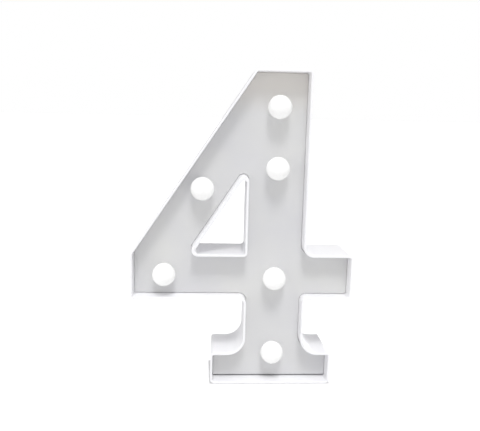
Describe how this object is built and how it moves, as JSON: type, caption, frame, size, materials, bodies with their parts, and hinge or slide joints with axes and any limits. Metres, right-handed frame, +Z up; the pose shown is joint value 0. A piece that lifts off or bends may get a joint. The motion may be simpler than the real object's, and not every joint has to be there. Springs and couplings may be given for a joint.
{
  "type": "light up marquee number",
  "caption": "Free-standing or wall-hung white channel figure 4 with round milky bulbs on its recessed face, battery compartment with hinged door and slide switch at the back.",
  "frame": {"origin": "centre of the bounding box's bottom face, on the surface that the figure stands on", "axes": "+Z up, +X to the right and +Y away from a viewer who faces the bulbs"},
  "size_m": [0.1546, 0.044, 0.22],
  "materials": {
    "white_plastic": "satin",
    "face_plastic": "satin",
    "milky_plastic": "milky gloss",
    "holder_plastic": "matt",
    "lens_resin": "clear",
    "lead_metal": "tinned",
    "red_insulation": "satin",
    "black_insulation": "satin",
    "screw_steel": "zinc plated",
    "contact_metal": "nickel plated",
    "cell_shell": "printed film over metal",
    "switch_case": "satin",
    "switch_knob": "matt"
  },
  "bodies": {
    "figure": {"battery_cell_left": "cell_shell", "battery_cell_right": "cell_shell", "black_wire_1_to_2": "black_insulation", "black_wire_2_to_3": "black_insulation", "black_wire_3_to_4": "black_insulation", "black_wire_4_to_5": "black_insulation", "black_wire_5_to_6": "black_insulation", "black_wire_battery_to_light": "black_insulation", "bulb_cap_1": "milky_plastic", "bulb_cap_2": "milky_plastic", "bulb_cap_3": "milky_plastic", "bulb_cap_4": "milky_plastic", "bulb_cap_5": "milky_plastic", "bulb_cap_6": "milky_plastic", "channel_body": "white_plastic", "contact_bridge": "contact_metal", "contact_plate_negative": "contact_metal", "contact_plate_positive": "contact_metal", "contact_spring_lower": "contact_metal", "contact_spring_upper": "contact_metal", "face_panel": "face_plastic", "led_1": "lens_resin", "led_2": "lens_resin", "led_3": "lens_resin", "led_4": "lens_resin", "led_5": "lens_resin", "led_6": "lens_resin", "led_holder_1": "holder_plastic", "led_holder_2": "holder_plastic", "led_holder_3": "holder_plastic", "led_holder_4": "holder_plastic", "led_holder_5": "holder_plastic", "led_holder_6": "holder_plastic", "led_leads_1": "lead_metal", "led_leads_2": "lead_metal", "led_leads_3": "lead_metal", "led_leads_4": "lead_metal", "led_leads_5": "lead_metal", "led_leads_6": "lead_metal", "panel_screws": "screw_steel", "red_wire_1_to_2": "red_insulation", "red_wire_2_to_3": "red_insulation", "red_wire_3_to_4": "red_insulation", "red_wire_4_to_5": "red_insulation", "red_wire_5_to_6": "red_insulation", "red_wire_battery_to_switch": "red_insulation", "red_wire_switch_to_light": "red_insulation", "switch_body": "switch_case", "switch_screws": "screw_steel"},
    "battery_door": {"battery_door": "white_plastic"},
    "switch_knob": {"switch_knob": "switch_knob"}
  },
  "joints": [
    {"name": "battery_door_hinge", "type": "hinge", "parent": "figure", "child": "battery_door", "pos_m": [0.0226, 0.02196, 0.0309], "axis": [-1, 0, 0], "range_deg": [0, 60]},
    {"name": "switch_slide", "type": "slide", "parent": "figure", "child": "switch_knob", "axis": [1, 0, 0], "range_m": [0, 0.004]}
  ]
}
